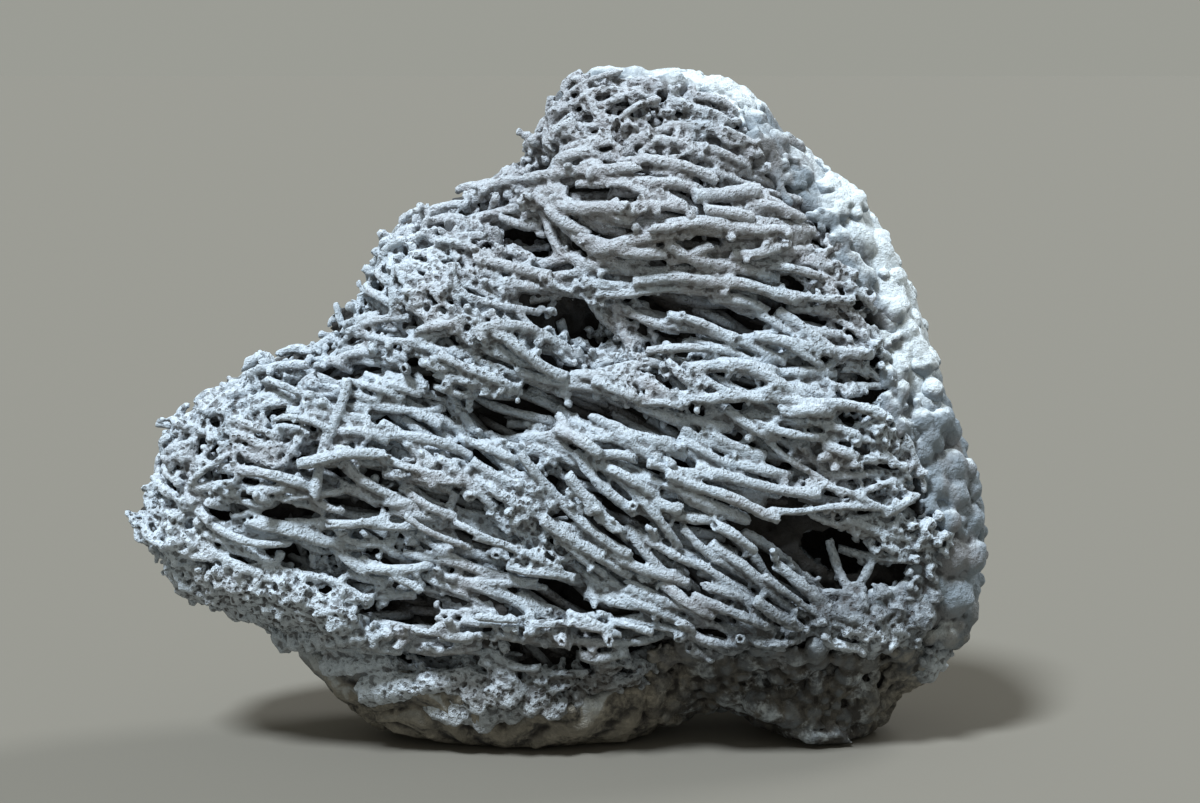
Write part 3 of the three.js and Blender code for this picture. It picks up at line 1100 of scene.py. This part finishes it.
class Finish:  # a material whose nodes are added one at a time
    def __init__(self, name, roughness):
        self.material = bpy.data.materials.new(name)
        self.material.use_nodes = True
        self.tree = self.material.node_tree
        self.shader = self.tree.nodes["Principled BSDF"]
        self.shader.inputs["Roughness"].default_value = roughness
        self.shader.inputs["Specular IOR Level"].default_value = 0.25
        self.place = self.add("ShaderNodeTexCoord", output="Object")
        self.tone = None

    def add(self, kind, settings=None, links=None, output=0):
        node = self.tree.nodes.new(kind)
        for key, value in (settings or {}).items():
            setattr(node, key, value)
        for key, value in (links or {}).items():
            if isinstance(value, Value):
                self.tree.links.new(value.socket, node.inputs[key])
            else:
                node.inputs[key].default_value = value
        return Value(self, node.outputs[output])

    def pattern(self, size, detail=3, roughness=0.55):
        links = {"Vector": self.place, "Scale": 1 / size, "Detail": detail, "Roughness": roughness}
        return self.add("ShaderNodeTexNoise", {}, links)

    def cells(self, size):
        return self.add("ShaderNodeTexVoronoi", {}, {"Vector": self.place, "Scale": 1 / size})

    def level(self, value, low, high):
        settings = {"interpolation_type": "SMOOTHSTEP"}
        links = {"Value": value, "From Min": low, "From Max": high}
        return self.add("ShaderNodeMapRange", settings, links)

    # of this node's sockets, inputs 6 and 7 and output 2 are the ones for colours
    def mix(self, factor, first, second):
        links = {0: factor, 6: first, 7: second}
        return self.add("ShaderNodeMix", {"data_type": "RGBA"}, links, 2)

    def coat(self, factor, colour):
        self.tone = self.mix(factor, self.tone, colour)

    def attribute(self, name):
        return self.add("ShaderNodeAttribute", {"attribute_name": name}, {}, "Fac")

    def axis(self, vector, name):
        return self.add("ShaderNodeSeparateXYZ", {}, {0: vector}, name)

    def bump(self, height, strength, distance):
        links = {"Height": height, "Strength": strength, "Distance": distance}
        return self.add("ShaderNodeBump", {}, links)

    def feed(self, name, value):
        self.tree.links.new(value.socket, self.shader.inputs[name])


def rgb(red, green, blue):
    return (red, green, blue, 1)


stemColours = {
    "cool": rgb(0.492, 0.56, 0.63),
    "warm": rgb(0.45, 0.458, 0.492),
    "pale": rgb(0.77, 0.85, 0.93),
    # dark for painted shade in creases, pores, pits and behind the stems
    "deep": rgb(0.08, 0.07, 0.064),
    # brown for the painted shade under the stems and for the darker bottom
    "underBrown": rgb(0.2, 0.18, 0.155),
    # dark for the painted shade at the lower right and the bottom middle
    "paintedShade": rgb(0.085, 0.094, 0.106),
}


def makeStemFinish(colours):
    finish = Finish("stemLime", 0.92)
    level, pattern, attribute, coat = finish.level, finish.pattern, finish.attribute, finish.coat
    height = attribute("height")
    up = attribute("up")
    x = finish.axis(finish.place, "X")
    z = finish.axis(finish.place, "Z")
    crown = level(z, 0.155, 0.21) * level(x, -0.11, 0.01)
    patches = level(pattern(0.03) + 0.25 * crown, 0.45, 0.72)
    finish.tone = finish.mix(patches, colours["cool"], colours["warm"])
    speckle = level(pattern(0.0014, 2, 0.7), 0.35, 0.7)
    # pale frost on up-facing sides: partly the crust's own frost, partly a painted highlight from
    # above
    frost = level(up + 0.8 * pattern(0.006), 0.45, 1.3)
    coat(0.52 * frost * (1 - 0.5 * crown) + 0.42 * speckle - 0.12, colours["pale"])
    # painted shade: down-facing sides are darkened with brown, less on bleached crust
    under = level(0.25 * pattern(0.01) - up, 0.15, 0.9)
    bleach = attribute("bleach")
    coat(under * (0.7 - 0.45 * bleach), colours["underBrown"])
    # darker and browner towards the bottom, less where frosted
    sag = 0.1 * x * (1 - x * 6)
    low = level(z - sag + 0.012 * pattern(0.015), 0.05, 0.026)
    coat(low * 0.75 * (1 - 0.85 * frost), colours["underBrown"])
    # painted shade: the lower right and the bottom middle are darkened, as if lit from the upper
    # left
    paintedShade = level(x, 0.02, 0.08)
    paintedShade *= level(z + 0.012 * pattern(0.02), 0.094, 0.062)
    lowestShade = level(x, -0.05, 0.0)
    lowestShade *= level(z + 0.01 * pattern(0.02), 0.06, 0.04)
    coat((0.78 * paintedShade + 0.36 * lowestShade) * (1 - bleach), colours["paintedShade"])
    coat(bleach * (0.5 + 0.25 * frost), colours["pale"])
    # painted highlight on convex edges, painted shade in creases
    cavity = attribute("cavity")
    coat(level(cavity, -0.05, -0.17) * 0.3, colours["pale"])
    coat(level(cavity, 0.015, 0.11) * 0.65, colours["deep"])
    # painted shade: what lies deep below the body's surface is darkened
    coat(level(height, -0.0025, -0.013) * 0.92, colours["deep"])
    # painted shade: dark pores, most where crumbly, and darkened pits
    pores = level(finish.cells(0.0027), 0.36, 0.2)
    pores *= 0.15 + 0.85 * attribute("crumb")
    coat(pores * 0.85, colours["deep"])
    coat(attribute("pit") * 0.7, colours["deep"])
    finish.feed("Base Color", finish.tone)
    grains = pattern(0.0013, 3, 0.65)
    dimples = level(finish.cells(0.0024), 0.02, 0.3)
    finish.feed("Normal", finish.bump(0.7 * grains + 0.3 * dimples - 0.5 * pores, 1.0, 0.003))
    return finish.material


rindColours = {
    "grey": rgb(0.265, 0.31, 0.355),
    "warm": rgb(0.255, 0.26, 0.275),
    "white": rgb(0.72, 0.79, 0.84),
    "brown": rgb(0.052, 0.047, 0.042),
    "tan": rgb(0.37, 0.335, 0.27),
    # dark for painted shade in creases, behind the stems and in the crevice
    "deep": rgb(0.03, 0.026, 0.023),
}


def makeRindFinish(colours):
    finish = Finish("rindLime", 0.85)
    level, pattern, attribute, coat = finish.level, finish.pattern, finish.attribute, finish.coat
    face = attribute("face")
    up = attribute("up")
    x = finish.axis(finish.place, "X")
    z = finish.axis(finish.place, "Z")
    patches = pattern(0.022, 4)
    fine = pattern(0.0035, 3, 0.65)
    finish.tone = finish.mix(level(patches, 0.42, 0.62), colours["grey"], colours["warm"])
    # white crust where frosted, and a painted highlight on up-facing sides
    frost = attribute("frost")
    white = level(0.8 * frost + 0.7 * up + 1.2 * patches + 0.7 * fine, 1.35, 1.85)
    coat(white, colours["white"])
    # browner towards the bottom and on down-facing sides, darkest at the right
    rise = z + 0.02 * patches - 0.008 * up - 0.013 * level(x, 0.0, 0.04)
    low = level(rise, 0.056, 0.03)
    mottle = 0.6 * pattern(0.009, 4, 0.65) + 0.4 * pattern(0.0025, 3, 0.65)
    mottle = level(mottle, 0.4, 0.68)
    underBrown = finish.mix(mottle, colours["brown"], colours["tan"])
    bands = level(attribute("lip") + 0.7 * fine, 0.4, 1.0)
    underBrown = finish.mix(bands * 0.5, underBrown, colours["tan"])
    right = level(x, 0.03, 0.06) * level(x, 0.135, 0.11)
    underBrown = finish.mix(right * 0.72, underBrown, colours["brown"])
    spots = right * level(pattern(0.01, 4, 0.7), 0.5, 0.7)
    underBrown = finish.mix(spots * 0.65, underBrown, colours["white"])
    coat(low * (0.95 - 0.75 * frost), underBrown)
    # painted shade in creases, darker at the bottom; painted highlight on low crests
    cavity = attribute("cavity")
    coat(level(cavity, 0.01, 0.1) * (0.6 + 0.3 * low), colours["deep"])
    crestHighlight = finish.mix(right, colours["tan"], colours["grey"])
    coat(low * level(cavity, -0.01, -0.11) * 0.3, crestHighlight)
    lip = level(attribute("lip") + 0.5 * up + 0.8 * fine, 0.95, 1.45)
    lip *= level(z, 0.01, 0.026)
    coat(lip * 0.5, colours["white"])
    # painted shade: the mass behind the stems and the crevice are darkened
    coat(face * 0.95, colours["deep"])
    finish.feed("Base Color", finish.tone)
    grains = pattern(0.0022, 4, 0.65)
    finish.feed("Normal", finish.bump(grains, 1.0, 0.0022))
    return finish.material


stemFinish = makeStemFinish(stemColours)
rindFinish = makeRindFinish(rindColours)

pieces = clumpPieces + [mass, knobs]
for piece in pieces:
    piece.data.materials.clear()
    piece.data.materials.append(stemFinish if piece in clumpPieces else rindFinish)
    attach(piece, "root")
    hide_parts("tufa")
triangles = sum(len(polygon.vertices) - 2 for piece in pieces for polygon in piece.data.polygons)
report(f"finishes made, {triangles} triangles in all")


# Floor and light
studioSettings = {
    "floorSize": 40,
    "floorColour": rgb(0.18, 0.166, 0.141),
    "worldColour": rgb(0.33, 0.335, 0.302),
    "lights": {  # place, angle, strength, colour
        "key": ((-0.36, -0.46, 1.0), 12, 4.7, (0.85, 0.95, 1.03)),
        "rim": ((0.75, 0.5, 0.85), 20, 1.5, (0.92, 0.97, 1.0)),
    },
}


def makeStudio(settings):
    bm = bmesh.new()
    bmesh.ops.create_grid(bm, x_segments=1, y_segments=1, size=settings["floorSize"] / 2)
    floor = newPiece("floor", meshFrom(bm, "floor"))
    finish = Finish("floorPaint", 0.9)
    finish.shader.inputs["Base Color"].default_value = settings["floorColour"]
    floor.data.materials.append(finish.material)
    world = bpy.data.worlds.new("studio")
    world.use_nodes = True
    world.node_tree.nodes["Background"].inputs["Color"].default_value = settings["worldColour"]
    scene.world = world
    for name, (place, angle, strength, colour) in settings["lights"].items():
        light = bpy.data.lights.new(name, "SUN")
        light.angle = math.radians(angle)
        light.energy = strength
        light.color = colour
        lamp = bpy.data.objects.new(name, light)
        lamp.location = place
        lamp.rotation_euler = (-Vector(place)).to_track_quat("-Z", "Y").to_euler()
        scene.collection.objects.link(lamp)
    scene.view_settings.view_transform = "Standard"


makeStudio(studioSettings)
report("studio made")
